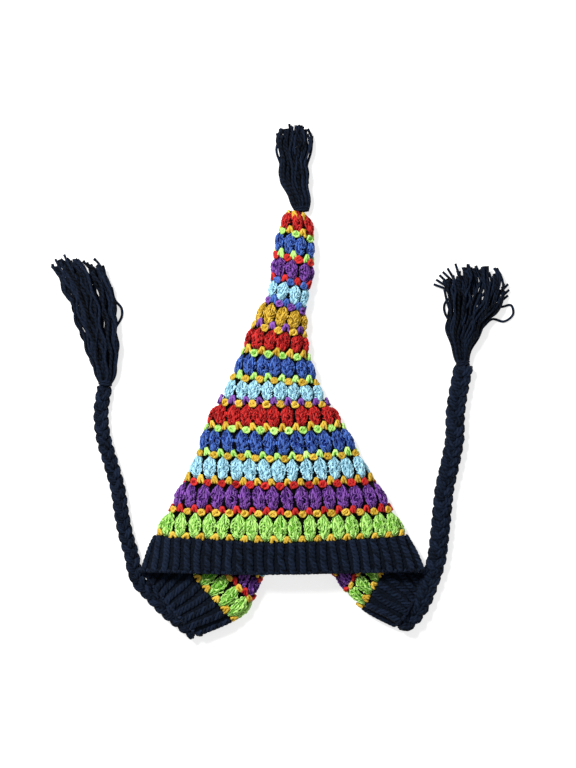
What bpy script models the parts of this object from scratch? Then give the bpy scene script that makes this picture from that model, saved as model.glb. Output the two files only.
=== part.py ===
"""Pointed crochet hat lying flat, with a ribbed band, puff-stitch rounds, plaited ties and tassels.

The hat is a knitted tube that lies on its back. Its front layer is on top. Its back layer hangs
below the front hem in two ear corners, and the nape between them is folded under, along an arched
crease that runs from one ear corner to the other.
Metres, +Z up, +Y towards the point of the hat. The origin is the middle of the nape band's underside.
"""
import math
from collections import namedtuple

import bmesh
import bpy
import numpy as np

MM = 0.001

# Wall of the crochet work, in mm from the middle of the fabric
PUFF_SWELL = 4.2
PUFF_VALLEY = 2.7
ROUND_EDGE = 2.3
RIB_SWELL = 3.9
RIB_VALLEY = 3.1
BAND_INSIDE = 3.2
TIP_WALL = 3.0
TIP_ROUNDING = 5.0
GAP = 0.9
MAX_TURN = math.radians(24)
# Stretches of the loop that neighbouring rounds share point for point, because the fabric turns
# there: the side folds, and the ear corners with the nape between them. Start, end, points.
SHARED_STRETCHES = [(1.8, 4.4, 9), (4.55, 5.45, 8), (5.6, 14.4, 30), (14.55, 15.45, 8), (15.6, 18.2, 9)]
TOP_OF_EAR_ROUNDS = 195.0
# The rounds that are gathered at the crease are pressed thinner there
NAPE_PINCH = 0.7
NAPE_PINCH_FROM = 57.0
NAPE_PINCH_TO = 153.0

PUFF_PITCH = 12.5
RIB_PITCH = 9.2
FLOOR_LAYER_Z = 4.0
CORNER_SHARE = 0.4
LOOP_CONTROLS = 20

# One row for each measured level of the hat, in mm. height is counted up from the front hem.
# centre_x, front_y, edge_y, half_width: the front layer as seen. tilt raises the left end of a level.
# left_x, left_y, right_x, right_y: where the back layer turns under, at the crease.
# nape_y, nape_z: the middle of the folded-under nape, or of the back layer above the crease.
# front_z, fold_r: height of the front layer and radius of the side folds.
# flap_z, mid_z: height of the back layer beside the crease and half way to the side fold.
# arch: 1 where the level runs through the folded-under nape, 0 above it.
# left_lean, right_lean: how far the nape's sides lean to its middle, as a share.
Level = namedtuple("Level", "height centre_x front_y edge_y half_width tilt left_x left_y right_x right_y "
                            "nape_y nape_z front_z fold_r flap_z mid_z arch left_lean right_lean")
LEVELS = [
    Level(0, -1, -45, -40, 123, 0, -79, -99, 105, -88, 23, 3, 35, 9.0, 18, 12, 1.0, 0.13, 0.25),
    Level(29, -3, -16, -12, 110, 0, -48, -86, 75, -70, -3, 3, 36, 9.0, 18, 13, 1.0, 0.11, 0.11),
    Level(43, -3, -3, 6, 106, 0, -40, -77, 66, -62, -11, 3, 36, 9.0, 18, 14, 1.0, 0.11, 0.11),
    Level(70, -4, 23, 31, 93, 0, -31, -56, 58, -51, -19, 4, 36, 9.0, 18, 14, 1.0, 0.11, 0.11),
    Level(93, -4, 47, 55, 80, 0, -21, -39, 47, -36, -26, 5, 35, 9.0, 18, 14, 0.95, 0.2, 0.2),
    Level(106, -5, 59, 67, 74, 0, -9, -33, 40, -32, -33, 11, 34, 9.0, 17, 13, 0.6, 0.35, 0.35),
    Level(118, -6, 72, 79, 68, 0, -18, -8, 28, -7, -17, 18, 33, 9.0, 17, 10, 0.0, 0.5, 0.5),
    Level(142, -6, 96, 102, 58, 0, -24, 38, 16, 40, 30, 11, 29, 9.0, 10, 7, 0.0, 0.5, 0.5),
    Level(162, -7, 117, 122, 46, 1, -22, 84, 10, 84, 78, 4, 26, 8.5, 4, 4, 0.0, 0.5, 0.5),
    Level(184, -6, 138, 142, 36, 1, -19, 121, 6, 120, 118, 4, 24, 8.5, 4, 4, 0.0, 0.5, 0.5),
    Level(205, -5, 159, 161, 28, 2, -15, 151, 4, 149, 150, 4, 22, 8.0, 4, 4, 0.0, 0.5, 0.5),
    Level(226, -2, 180, 180, 24, 5, -11, 178, 7, 174, 176, 4, 21, 8.0, 4, 4, 0.0, 0.5, 0.5),
    Level(247, 4, 202, 202, 19, 5, -2, 203, 10, 201, 202, 4, 20, 7.5, 4, 4, 0.0, 0.5, 0.5),
    Level(268, 8, 223, 223, 19, 4, 2, 224, 14, 222, 223, 4, 20, 7.5, 4, 4, 0.0, 0.5, 0.5),
    Level(288, 9, 243, 243, 18, 4, 3, 244, 15, 242, 243, 4, 19, 7.0, 4, 4, 0.0, 0.5, 0.5),
    Level(310, 11, 264, 264, 14, 3, 8, 264, 14, 264, 264, 5, 17, 5.5, 5, 5, 0.0, 0.5, 0.5),
    Level(321, 12, 275, 275, 7, 1, 11, 275, 13, 275, 275, 9, 13, 2.0, 9, 9, 0.0, 0.5, 0.5),
]

# One row for each round of puffs: where it starts and ends above the hem, in mm, and its yarn
Round = namedtuple("Round", "name bottom top yarn")
BAND = Round("rib_band", 0.0, 29.0, "navy")
ROUNDS = [
    Round("crown_round_01", 29.0, 56.5, "lime"),
    Round("crown_round_02", 56.5, 81.5, "purple"),
    Round("crown_round_03", 81.5, 105.5, "light_blue"),
    Round("crown_round_04", 105.5, 130.0, "royal_blue"),
    Round("crown_round_05", 130.0, 152.0, "red"),
    Round("crown_round_06", 152.0, 173.0, "light_blue"),
    Round("crown_round_07", 173.0, 194.5, "royal_blue"),
    Round("crown_round_08", 194.5, 215.5, "red"),
    Round("crown_round_09", 215.5, 236.5, "gold"),
    Round("crown_round_10", 236.5, 257.5, "light_blue"),
    Round("crown_round_11", 257.5, 278.0, "purple"),
    Round("crown_round_12", 278.0, 299.0, "royal_blue"),
    Round("crown_round_13", 299.0, 321.0, "red"),
]

YARN_COLOURS = {
    "lime": (0.33, 0.75, 0.12),
    "purple": (0.15, 0.04, 0.28),
    "light_blue": (0.39, 0.72, 0.87),
    "royal_blue": (0.024, 0.075, 0.48),
    "red": (0.53, 0.010, 0.016),
    "gold": (0.69, 0.38, 0.014),
    "navy": (0.007, 0.010, 0.024),
}
YARN_ROUGHNESS = 0.9

# Routes of the two ties, from the ear corner to the neck of the tassel: x, y and lift off the floor, in mm
TIE_RADIUS_LEFT = 6.0
TIE_RADIUS_RIGHT = 7.2
TIE_LEFT_ROUTE = [(-83.9, -102.3, 4.5), (-93, -92, 2.5), (-101, -83, 0.6), (-109, -73, 0), (-118, -63, 0),
                  (-127, -53, 0), (-132, -41, 0), (-134, -30, 0), (-137, -14, 0), (-142, 7, 0),
                  (-148, 30, 0), (-154, 52, 0), (-158, 76, 0), (-159, 100, 0), (-157, 121, 0)]
TIE_RIGHT_ROUTE = [(112.1, -90.5, 3.3), (116, -83, 2.3), (121, -74, 0.8), (125, -63, 0), (130, -50, 0),
                   (135, -33, 0), (138, -14, 0), (141, 8, 0), (145, 30, 0), (150, 50, 0),
                   (152, 75, 0), (151, 98, 0), (155, 118, 0), (158, 137, 0)]
TIE_POINTS = 22
TIE_BEVEL_RESOLUTION = 2

# One row for each section of a tassel: x, y, width and thickness in mm, from the neck to the cut ends
Bundle = namedtuple("Bundle", "x y width thickness")
TASSEL_LEFT = [Bundle(-157, 122.5, 9, 9), Bundle(-158, 136, 19, 15), Bundle(-160, 160, 31, 20),
               Bundle(-165, 186, 40, 20), Bundle(-174, 208, 42, 17), Bundle(-182, 226, 38, 12)]
TASSEL_RIGHT = [Bundle(158.5, 138.0, 10, 10), Bundle(159, 152, 20, 16), Bundle(160, 172, 32, 20),
                Bundle(164, 192, 46, 19), Bundle(170, 210, 56, 16), Bundle(174, 221, 50, 11)]
TASSEL_TIP = [Bundle(15, 273.5, 9, 9), Bundle(17, 289, 15, 13), Bundle(13, 307, 24, 18),
              Bundle(10, 324, 30, 18), Bundle(9, 338, 31, 15), Bundle(8.5, 347, 26, 11)]
TASSEL_LOCKS = 8
TASSEL_SIDES_PER_LOCK = 4
LOCK_DEPTH = 0.13
LOCK_END_SPREAD = 4.0
TASSEL_END_DIP = 5.0


def yarn_material(yarn):
    """Matt wool in one colour."""
    material = bpy.data.materials.new("yarn_" + yarn)
    material.use_nodes = True
    shader = material.node_tree.nodes["Principled BSDF"]
    shader.inputs["Base Color"].default_value = (*YARN_COLOURS[yarn], 1.0)
    shader.inputs["Roughness"].default_value = YARN_ROUGHNESS
    shader.inputs["Metallic"].default_value = 0.0
    return material


def mesh_piece(name, points, faces, material, collection):
    """One closed body from points in mm, with its faces turned outwards."""
    mesh = bpy.data.meshes.new(name)
    mesh.from_pydata([tuple(point * MM) for point in points], [], faces)
    work = bmesh.new()
    work.from_mesh(mesh)
    bmesh.ops.recalc_face_normals(work, faces=work.faces)
    work.to_mesh(mesh)
    work.free()
    mesh.shade_smooth()
    mesh.materials.append(material)
    piece = bpy.data.objects.new(name, mesh)
    collection.objects.link(piece)
    return piece


def unit(vector):
    length = np.linalg.norm(vector, axis=-1, keepdims=True)
    return vector / np.maximum(length, 1e-9)


def tangents(points, knots):
    """Slope at each point of an open run of points, for a smooth curve through them."""
    slopes = np.empty_like(points)
    step = np.diff(knots)[:, None]
    rise = np.diff(points, axis=0) / step
    slopes[1:-1] = (step[:-1] * rise[1:] + step[1:] * rise[:-1]) / (step[:-1] + step[1:])
    slopes[0] = rise[0]
    slopes[-1] = rise[-1]
    return slopes


def smooth_run(points, knots, at):
    """Points at the knot values `at` on the smooth curve through the given points."""
    slopes = tangents(points, knots)
    index = np.clip(np.searchsorted(knots, at, side="right") - 1, 0, len(knots) - 2)
    span = (knots[index + 1] - knots[index])[:, None]
    t = ((at - knots[index])[:, None]) / span
    start = points[index] * (2 * t**3 - 3 * t**2 + 1) + slopes[index] * span * (t**3 - 2 * t**2 + t)
    end = points[index + 1] * (3 * t**2 - 2 * t**3) + slopes[index + 1] * span * (t**3 - t**2)
    return start + end


def side_controls(level, side):
    """The control points of one side of a level, from the front layer round to the nape."""
    half = level.half_width - ROUND_EDGE
    centre = np.array([level.centre_x, level.front_y, level.front_z], float)
    edge = np.array([level.centre_x + side * half, level.edge_y - side * level.tilt, 0.0])
    crease_xy = (level.right_x, level.right_y) if side > 0 else (level.left_x, level.left_y)
    crease = np.array([*crease_xy, 0.0])
    nape = np.array([0.5 * (level.left_x + level.right_x), level.nape_y, level.nape_z])

    front_way = unit(centre * (1, 1, 0) - edge)
    flap_way = unit(crease - edge)
    radius = min(level.fold_r, 0.45 * half)
    fold_z = FLOOR_LAYER_Z + level.fold_r
    shoulder = edge + front_way * radius + (0, 0, fold_z + level.fold_r)
    quarter = 0.5 * (centre + shoulder) + (0, 0, 0.18 * (centre[2] - shoulder[2]))
    edge_turn = edge + (0, 0, fold_z)
    flap_start = edge + flap_way * radius + (0, 0, FLOOR_LAYER_Z)

    nape_way = unit(nape * (1, 1, 0) - crease)
    corner = CORNER_SHARE * np.linalg.norm(nape * (1, 1, 0) - crease) * (1.0 - level.arch)
    crease_r = max(0.5 * (level.flap_z - level.nape_z), corner)
    flap_end = crease - flap_way * crease_r + (0, 0, level.flap_z)
    flap_middle = 0.5 * (flap_start + flap_end) * (1, 1, 0) + (0, 0, level.mid_z)
    crease_turn = crease + (0, 0, 0.5 * (level.flap_z + level.nape_z))
    across = level.right_lean if side > 0 else level.left_lean
    along = 0.75 - 0.13 * level.arch
    nape_middle = crease + (nape - crease) * (across, along, 0) + (0, 0, level.nape_z)
    turn_way = unit((nape_middle - crease) * (1, 1, 0)) if level.arch > 0.5 else nape_way
    nape_start = crease + turn_way * crease_r * 0.9 + (0, 0, level.nape_z)
    return [quarter, shoulder, edge_turn, flap_start, flap_middle, flap_end, crease_turn, nape_start,
            nape_middle]


def level_controls(level):
    """Closed loop of control points: front middle, left side, nape middle, right side."""
    left = side_controls(level, -1)
    right = side_controls(level, 1)
    front = np.array([level.centre_x, level.front_y, level.front_z], float)
    nape = np.array([0.5 * (level.left_x + level.right_x), level.nape_y, level.nape_z])
    return np.array([front] + left + [nape] + right[::-1])


LEVEL_HEIGHTS = np.array([level.height for level in LEVELS], float)
CONTROLS = np.array([level_controls(level) for level in LEVELS])


def controls_at(height):
    flat = CONTROLS.reshape(len(LEVELS), -1)
    return smooth_run(flat, LEVEL_HEIGHTS, np.array([float(height)])).reshape(LOOP_CONTROLS, 3)


def loop_at(height, stations):
    """Points round the hat at one height, at station values from 0 to the number of controls."""
    points = controls_at(height)
    padded = np.concatenate([points[-2:], points, points[:3]])
    chord = np.maximum(np.linalg.norm(np.diff(padded, axis=0), axis=1), 0.05) ** 0.5
    knots = np.concatenate([[0.0], np.cumsum(chord)])
    whole = np.floor(stations).astype(int)
    index = whole % LOOP_CONTROLS + 2
    at = knots[index] + (stations - whole) * (knots[index + 1] - knots[index])
    return smooth_run(padded, knots, at)


def upward(height, stations):
    """Direction up the hat along its fabric."""
    rise = 1.0
    low = max(height - rise, LEVEL_HEIGHTS[0])
    high = min(height + rise, LEVEL_HEIGHTS[-1] - 0.5)
    return unit(loop_at(high, stations) - loop_at(low, stations))


def outward(height, stations):
    """Direction out of the hat, square to its fabric."""
    small = 0.02
    along = loop_at(height, stations + small) - loop_at(height, stations - small)
    return unit(np.cross(upward(height, stations), along))


def even_stations(height, count):
    """Station values that share the loop at one height into equal lengths."""
    fine = np.linspace(0, LOOP_CONTROLS, 40 * LOOP_CONTROLS + 1)
    points = loop_at(height, fine)
    length = np.concatenate([[0.0], np.cumsum(np.linalg.norm(np.diff(points, axis=0), axis=1))])
    return np.interp(np.arange(count) * length[-1] / count, length, fine), length[-1]


def repeat_count(height, pitch):
    return round(even_stations(height, 4)[1] / pitch)


def add_turn_stations(height, stations, values):
    """Add stations where the fabric turns sharply, at its folds. `values` go along with them."""
    small = 0.02
    closed = np.append(stations, LOOP_CONTROLS)
    way = unit(loop_at(height, closed + small) - loop_at(height, closed - small))
    turn = np.arccos(np.clip((way[1:] * way[:-1]).sum(axis=1), -1, 1))
    middle = loop_at(height, 0.5 * (closed[1:] + closed[:-1]) + small)
    middle_way = unit(middle - loop_at(height, 0.5 * (closed[1:] + closed[:-1]) - small))
    turn = np.maximum(turn, np.arccos(np.clip((way[1:] * middle_way).sum(axis=1), -1, 1))
                      + np.arccos(np.clip((way[:-1] * middle_way).sum(axis=1), -1, 1)))
    shared = np.ceil(turn / MAX_TURN).clip(1).astype(int)
    extra = np.concatenate([np.arange(1, parts) / parts + i for i, parts in enumerate(shared)])
    where = np.sort(np.concatenate([np.arange(len(stations)), extra]))
    index = np.arange(len(closed))
    return np.interp(where, index, closed), np.interp(where, index, np.append(values, values[0]))


def shared_stations(height, count, swell, valley):
    """Stations for a round that passes through the ear corners, with its lumps."""
    stations, _ = even_stations(height, 2 * count)
    fixed = np.concatenate([np.linspace(*stretch) for stretch in SHARED_STRETCHES])
    free = [not any(low - 0.1 < at < high + 0.1 for low, high, _ in SHARED_STRETCHES) for at in stations]
    every = np.sort(np.concatenate([stations[free], fixed]))
    phase = np.interp(every, np.append(stations, LOOP_CONTROLS), np.arange(2 * count + 1)) * math.pi
    return every, valley + (swell - valley) * (0.5 + 0.5 * np.cos(phase))


def lump_stations(row, count, swell, valley):
    """Stations and lumps of a round: two to a puff or rib, and more where the fabric folds."""
    middle = 0.5 * (row.bottom + row.top)
    if row.top <= TOP_OF_EAR_ROUNDS:
        return shared_stations(middle, count, swell, valley)
    stations, _ = even_stations(middle, 2 * count)
    lump = np.where(np.arange(2 * count) % 2 == 0, swell, valley)
    return add_turn_stations(middle, stations, lump)


def offset_row(height, stations, distance, shift=0.0):
    """A row of points moved off the middle of the fabric, and kept on or above the floor.

    shift moves the row up the hat, in mm along the fabric."""
    points = loop_at(height, stations) + outward(height, stations) * np.asarray(distance)[..., None]
    if shift:
        points += upward(height, stations) * shift
    points[:, 2] = np.maximum(points[:, 2], 0.0)
    return points


def ring_faces(rows, sides):
    """Triangles between rows of points that close on themselves both ways.

    The last strip is split along the other diagonal, so that the end faces of two neighbouring
    rounds are split alike and can't cross."""
    faces = []
    for row in range(rows):
        following = (row + 1) % rows
        for i in range(sides):
            j = (i + 1) % sides
            corners = (row * sides + i, row * sides + j, following * sides + j, following * sides + i)
            if following == 0:
                corners = corners[1:] + corners[:1]
            faces.append((corners[0], corners[1], corners[2]))
            faces.append((corners[0], corners[2], corners[3]))
    return faces


def lumpy_ring(row, count, swell, valley, edge, inside, material, collection):
    """A ring of the hat with a lump for each puff or rib, two points to a lump."""
    middle = 0.5 * (row.bottom + row.top)
    stations, lump = lump_stations(row, count, swell, valley)
    rim = np.minimum(lump, edge)
    if NAPE_PINCH_FROM < row.top <= NAPE_PINCH_TO:
        pinch = np.where((stations > 6.6) & (stations < 13.4), NAPE_PINCH, 1.0)
        lump = lump * pinch
        rim = rim * pinch
    rows = [offset_row(row.bottom, stations, rim, 0.5 * GAP),
            offset_row(middle, stations, lump),
            offset_row(row.top, stations, rim, -0.5 * GAP),
            offset_row(row.top, stations, -np.minimum(rim, inside), -0.5 * GAP),
            offset_row(middle, stations, -np.minimum(lump, inside)),
            offset_row(row.bottom, stations, -np.minimum(rim, inside), 0.5 * GAP)]
    if edge >= swell:
        del rows[4], rows[1]
    return mesh_piece(row.name, np.concatenate(rows), ring_faces(len(rows), len(stations)), material,
                      collection)


def tip_cap(row, count, material, collection):
    """The last round: a small cup that closes over the point of the hat."""
    middle = 0.5 * (row.bottom + row.top)
    stations, lump = lump_stations(row, count, PUFF_SWELL, PUFF_VALLEY)
    sides = len(stations)
    edge = np.full(sides, ROUND_EDGE)
    rows = [offset_row(row.bottom, stations, edge, 0.5 * GAP),
            offset_row(middle, stations, lump),
            offset_row(row.top - TIP_ROUNDING, stations, edge)]
    inner = [offset_row(row.bottom + TIP_ROUNDING, stations, np.full(sides, -TIP_WALL)),
             offset_row(row.bottom, stations, -edge, 0.5 * GAP)]
    points = np.concatenate(rows + inner)
    faces = []
    for k in range(2):
        for i in range(sides):
            j = (i + 1) % sides
            faces.append((k * sides + i, k * sides + j, (k + 1) * sides + j, (k + 1) * sides + i))
    for i in range(sides):
        j = (i + 1) % sides
        faces.append((3 * sides + i, 3 * sides + j, 4 * sides + j, 4 * sides + i))
        faces.append((4 * sides + i, 4 * sides + j, j, i))
    outer_pole = rows[2].mean(axis=0) + (0, 3.0, 0)
    inner_pole = inner[0].mean(axis=0) + (0, 2.0, 0)
    points = np.vstack([points, outer_pole, inner_pole])
    for i in range(sides):
        j = (i + 1) % sides
        faces.append((2 * sides + i, 2 * sides + j, 5 * sides))
        faces.append((3 * sides + i, 3 * sides + j, 5 * sides + 1))
    return mesh_piece(row.name, points, faces, material, collection)


def tie_tube(name, route, radius, material, collection):
    """A plaited tie as one plain tube that lies on the floor."""
    spine = np.array(route, float) + (0, 0, radius)
    chord = np.linalg.norm(np.diff(spine, axis=0), axis=1)
    knots = np.concatenate([[0.0], np.cumsum(chord)])
    points = smooth_run(spine, knots, np.linspace(0, knots[-1], TIE_POINTS))
    curve = bpy.data.curves.new(name, "CURVE")
    curve.dimensions = "3D"
    curve.bevel_depth = radius * MM
    curve.bevel_resolution = TIE_BEVEL_RESOLUTION
    curve.use_fill_caps = True
    spline = curve.splines.new("POLY")
    spline.points.add(TIE_POINTS - 1)
    for spot, point in zip(spline.points, points):
        spot.co = (*(point * MM), 1.0)
    curve.materials.append(material)
    piece = bpy.data.objects.new(name, curve)
    collection.objects.link(piece)
    return piece


def tassel(name, bundles, material, collection):
    """A yarn tassel: locks side by side, fused along their length, with ends of unlike length."""
    sides = TASSEL_LOCKS * TASSEL_SIDES_PER_LOCK
    angle = np.arange(sides) * 2 * math.pi / sides
    lobe = 1.0 + LOCK_DEPTH * (np.cos(TASSEL_LOCKS * angle) - 1.0)
    lock = np.arange(sides) // TASSEL_SIDES_PER_LOCK
    reach = LOCK_END_SPREAD * np.sin(2.4 * lock + 0.7)
    spine = np.array([(b.x, b.y) for b in bundles], float)
    ways = unit(np.gradient(spine, axis=0))
    rows = []
    for bundle, centre, way in zip(bundles, spine, ways):
        across = np.array([way[1], -way[0]])
        half_width = 0.5 * bundle.width * lobe
        half_height = 0.5 * bundle.thickness * lobe
        last = bundle is bundles[-1]
        forward = reach if last else np.zeros(sides)
        flat = centre + across * (half_width * np.cos(angle))[:, None] + way * forward[:, None]
        z = 0.5 * bundle.thickness + half_height * np.sin(angle)
        rows.append(np.column_stack([flat, np.maximum(z, 0.0)]))
    points = np.concatenate(rows)
    faces = []
    for row in range(len(rows) - 1):
        for i in range(sides):
            j = (i + 1) % sides
            faces.append((row * sides + i, row * sides + j, (row + 1) * sides + j, (row + 1) * sides + i))
    neck = np.array([*spine[0], 0.5 * bundles[0].thickness])
    end = np.array([*(spine[-1] - ways[-1] * TASSEL_END_DIP), 0.5 * bundles[-1].thickness])
    points = np.vstack([points, neck, end])
    final = (len(rows) - 1) * sides
    for i in range(sides):
        j = (i + 1) % sides
        faces.append((i, j, len(points) - 2))
        faces.append((final + i, final + j, len(points) - 1))
    return mesh_piece(name, points, faces, material, collection)


def build():
    for old in list(bpy.data.objects):
        bpy.data.objects.remove(old, do_unlink=True)
    collection = bpy.data.collections.new("crochet_hat")
    bpy.context.scene.collection.children.link(collection)
    yarns = {yarn: yarn_material(yarn) for yarn in YARN_COLOURS}

    ribs = repeat_count(0.5 * (BAND.bottom + BAND.top), RIB_PITCH)
    lumpy_ring(BAND, ribs, RIB_SWELL, RIB_VALLEY, RIB_SWELL, BAND_INSIDE, yarns[BAND.yarn], collection)
    for row in ROUNDS:
        puffs = repeat_count(0.5 * (row.bottom + row.top), PUFF_PITCH)
        if row is ROUNDS[-1]:
            tip_cap(row, puffs, yarns[row.yarn], collection)
        else:
            lumpy_ring(row, puffs, PUFF_SWELL, PUFF_VALLEY, ROUND_EDGE, PUFF_SWELL, yarns[row.yarn],
                       collection)

    tie_tube("tie_left", TIE_LEFT_ROUTE, TIE_RADIUS_LEFT, yarns["navy"], collection)
    tie_tube("tie_right", TIE_RIGHT_ROUTE, TIE_RADIUS_RIGHT, yarns["navy"], collection)
    tassel("tassel_left", TASSEL_LEFT, yarns["navy"], collection)
    tassel("tassel_right", TASSEL_RIGHT, yarns["navy"], collection)
    tassel("tassel_tip", TASSEL_TIP, yarns["navy"], collection)


build()
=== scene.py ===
"""Looks of the pointed crochet hat: every stitch, plait and tassel made of yarn.

Lengths are in millimetres unless a name says otherwise, and become metres when a mesh is made.
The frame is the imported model's: +Z up, +Y towards the point of the hat, the floor at z = 0.
"""
import math
from collections import namedtuple

import bpy
import numpy as np
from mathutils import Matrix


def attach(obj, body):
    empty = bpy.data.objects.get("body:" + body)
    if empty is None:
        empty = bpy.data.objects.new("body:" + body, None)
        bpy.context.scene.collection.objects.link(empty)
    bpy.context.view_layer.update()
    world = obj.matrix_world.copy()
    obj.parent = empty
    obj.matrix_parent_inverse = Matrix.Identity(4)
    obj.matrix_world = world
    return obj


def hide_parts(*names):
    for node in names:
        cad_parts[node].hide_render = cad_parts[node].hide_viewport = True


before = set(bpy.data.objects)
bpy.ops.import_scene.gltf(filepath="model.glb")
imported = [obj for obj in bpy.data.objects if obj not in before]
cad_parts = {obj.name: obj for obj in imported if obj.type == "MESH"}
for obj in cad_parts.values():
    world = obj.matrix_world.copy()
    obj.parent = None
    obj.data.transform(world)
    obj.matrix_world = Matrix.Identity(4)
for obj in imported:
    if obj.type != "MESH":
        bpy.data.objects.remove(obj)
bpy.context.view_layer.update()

MM = 0.001
TURN = 2 * math.pi
TINY = 1e-9

# The photograph's view, straight from above, in mm. The picture covers VIEW_HEIGHT from top to bottom
# at VIEW_LEVEL off the floor, and the camera sees as far as VIEW_REACH.
VIEW_CENTRE = (4.4, 122.3)
VIEW_DISTANCE = 1600.0
VIEW_HEIGHT = 676.0
VIEW_LEVEL = 20.0
VIEW_REACH = 10000.0
SENSOR = 36.0

# Surface of the hat, in mm. The fabric is a closed loop at each height, through LOOP_CONTROLS points,
# and a station is a place on it, from 0 at the middle of the front layer, by the left side and the
# nape, back to the front.
FLOOR_LAYER_Z = 4.0
CORNER_SHARE = 0.4
LOOP_CONTROLS = 20
ROUND_EDGE = 2.3
# Shape of each loop between its measured points: how far the side folds may reach in, how the front
# layer sags beside its middle, and where the nape turns
FOLD_SHARE = 0.45
SHOULDER_SAG = 0.18
NAPE_ALONG = 0.75
NAPE_PULL = 0.13
CREASE_REACH = 0.9
SHORTEST_CHORD = 0.05
# Steps from a place to its neighbours, which give the fabric's directions there
PROBE_HEIGHT = 1.0
PROBE_STATION = 0.02
TIP_MARGIN = 0.5
FINE_STEPS = 40
FINE_STATIONS = np.linspace(0, LOOP_CONTROLS, FINE_STEPS * LOOP_CONTROLS + 1)
# Stitches stand upright on the front layer, up to the first of these stations from its middle, and
# follow the fabric's own lines from the second one on
UPRIGHT_SHARE = 0.75
UPRIGHT_ENDS = (2.4, 3.6)
# One row for each measured level. height is counted up from the front hem.
# centre_x, front_y, edge_y, half_width: the front layer as seen. tilt raises the left end.
# left_x, left_y, right_x, right_y: where the back layer turns under, at the crease.
# nape_y, nape_z: the middle of the folded-under nape, or of the back layer above the crease.
# front_z, fold_r: height of the front layer and radius of the side folds.
# flap_z, mid_z: height of the back layer beside the crease and half way to the side fold.
# arch: 1 where the level runs through the folded-under nape, 0 above it.
# left_lean, right_lean: how far the nape's sides lean to its middle, as a share. Rows above the nape
# leave out the last three.
Level = namedtuple("Level", "height centre_x front_y edge_y half_width tilt left_x left_y right_x "
                            "right_y nape_y nape_z front_z fold_r flap_z mid_z arch left_lean "
                            "right_lean", defaults=(0.0, 0.5, 0.5))
LEVELS = [
    Level(0, -0.2, -45, -40, 126, 0, -76.5, -99.5, 101.3, -90.6, 23, 3, 35, 9.0, 18, 12, 1.0, 0.13, 0.25),
    Level(29, -2, -16, -12, 111, 0, -45.5, -86, 71.7, -74.2, -3, 3, 36, 9.0, 18, 13, 1.0, 0.11, 0.11),
    Level(43, -1.9, -4, -1.8, 106, 0, -35, -78, 62.5, -65.5, -11, 3, 36, 9.0, 18, 14, 1.0, 0.11, 0.11),
    Level(70, -2.3, 21.7, 23.7, 91.3, 0, -25, -58.5, 53.5, -54, -19, 4, 36, 9.0, 18, 14, 1.0, 0.11, 0.11),
    Level(93, -3.7, 44.6, 48, 78, 0, -16.5, -42, 42.5, -39, -26, 5, 35, 9.0, 18, 14, 0.95, 0.2, 0.2),
    Level(106, -4.5, 57, 60.5, 71.6, 0, -7, -34, 38, -33, -33, 11, 34, 9.0, 17, 13, 0.6, 0.35, 0.35),
    Level(118, -5.8, 68.1, 71.8, 66.2, 0, -18, -8, 27, -7, -17, 18, 33, 9.0, 17, 10),
    Level(142, -8, 93.5, 94.8, 55.4, 0, -24, 38, 13, 40, 30, 11, 29, 9.0, 10, 7),
    Level(162, -7.9, 114.3, 113.7, 43.7, 1.8, -21, 84, 6, 84, 78, 4, 26, 8.5, 4, 4),
    Level(184, -6.9, 136, 136, 33.4, 2.7, -18, 121, 4, 120, 118, 4, 24, 8.5, 4, 4),
    Level(205, -5.5, 158.4, 159, 26.3, 2.6, -15, 151, 3, 149, 150, 4, 22, 8.0, 4, 4),
    Level(226, -1, 180, 180, 20.5, 4.5, -10, 178, 6, 174, 176, 4, 21, 8.0, 4, 4),
    Level(247, 4.8, 201.2, 201.2, 15.9, 4.2, -1, 203, 10, 201, 202, 4, 20, 7.5, 4, 4),
    Level(268, 8, 221.3, 221.3, 17.8, 3.2, 3, 224, 13, 222, 223, 4, 20, 7.5, 4, 4),
    Level(288, 10.1, 243, 243, 16.4, 4, 5, 244, 14, 242, 243, 4, 19, 7.0, 4, 4),
    Level(310, 12.7, 264, 264, 12.8, 3, 9, 264, 15, 264, 264, 5, 17, 5.5, 5, 5),
    Level(321, 12.7, 275, 275, 6.7, 1, 11, 275, 14, 275, 275, 9, 13, 2.0, 9, 9),
]

# Rounds of puffs from the band up. gap_yarn is the small round stitches above the gaps of the round
# below, and tip_yarn the pointed ones between the bottoms of this round's puffs.
BAND_TOP = 29.0
Round = namedtuple("Round", "name bottom top yarn gap_yarn tip_yarn pitch")
ROUNDS = [
    Round("crown_round_01", 29.0, 56.5, "lime", None, "gold", 12.5),
    Round("crown_round_02", 56.5, 81.5, "purple", "gold", "red", 12.5),
    Round("crown_round_03", 81.5, 105.5, "light_blue", "red", "gold", 12.5),
    Round("crown_round_04", 105.5, 130.0, "royal_blue", "gold", "lime", 12.5),
    Round("crown_round_05", 130.0, 152.0, "red", "lime", "gold", 12.3),
    Round("crown_round_06", 152.0, 173.0, "light_blue", "gold", "purple", 11.8),
    Round("crown_round_07", 173.0, 194.5, "royal_blue", "gold", "lime", 12.0),
    Round("crown_round_08", 194.5, 215.5, "red", "lime", "gold", 11.4),
    Round("crown_round_09", 215.5, 236.5, "gold", "gold", "purple", 11.8),
    Round("crown_round_10", 236.5, 257.5, "light_blue", "purple", "royal_blue", 10.2),
    Round("crown_round_11", 257.5, 278.0, "purple", "royal_blue", "red", 11.6),
    Round("crown_round_12", 278.0, 299.0, "royal_blue", "red", "lime", 10.2),
    Round("crown_round_13", 299.0, 321.0, "red", "lime", "gold", 11.5),
]

# Outline of a puff, from its bottom (-1) to its gathered top (1): height, half width, half thickness
PUFF_SECTIONS = [(-1.0, 0.38, 0.36), (-0.78, 0.60, 0.66), (-0.45, 0.86, 0.92), (-0.1, 1.0, 1.0),
                 (0.25, 1.0, 0.97), (0.55, 0.80, 0.80), (0.8, 0.44, 0.55), (1.0, 0.16, 0.30)]
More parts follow.
